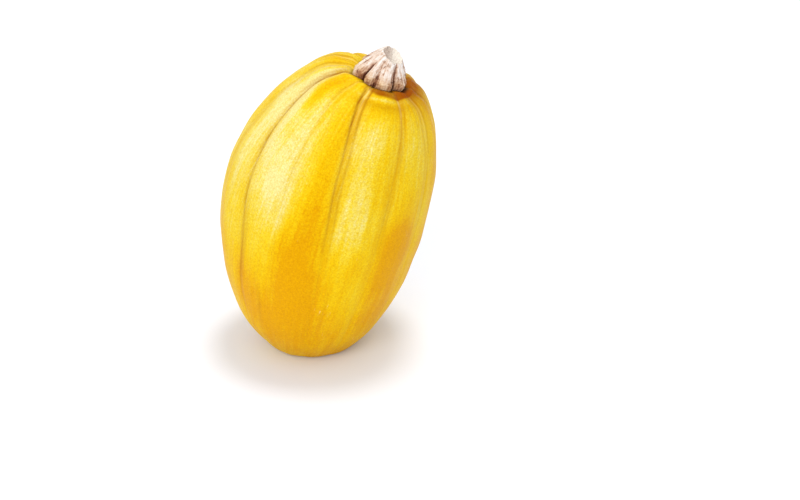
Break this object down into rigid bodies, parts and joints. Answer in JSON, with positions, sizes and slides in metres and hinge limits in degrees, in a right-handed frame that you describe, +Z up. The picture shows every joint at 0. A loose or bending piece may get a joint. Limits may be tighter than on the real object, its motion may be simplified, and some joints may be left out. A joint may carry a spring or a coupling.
{
  "type": "spaghetti squash",
  "caption": "Whole ripe spaghetti squash: a long ribbed yellow fruit with its corky stem stub, standing on the flat spot at its blossom end.",
  "frame": {"origin": "middle of the flat spot at the blossom end that the fruit stands on", "axes": "+Z up, +X towards the side that the fruit leans to, -Y to the front"},
  "size_m": [0.1453, 0.1357, 0.2271],
  "materials": {
    "skin": "satin, waxy rind",
    "cork": "matt, dry and furrowed"
  },
  "bodies": {
    "root": {"fruit": "skin", "stem": "cork"}
  },
  "joints": []
}
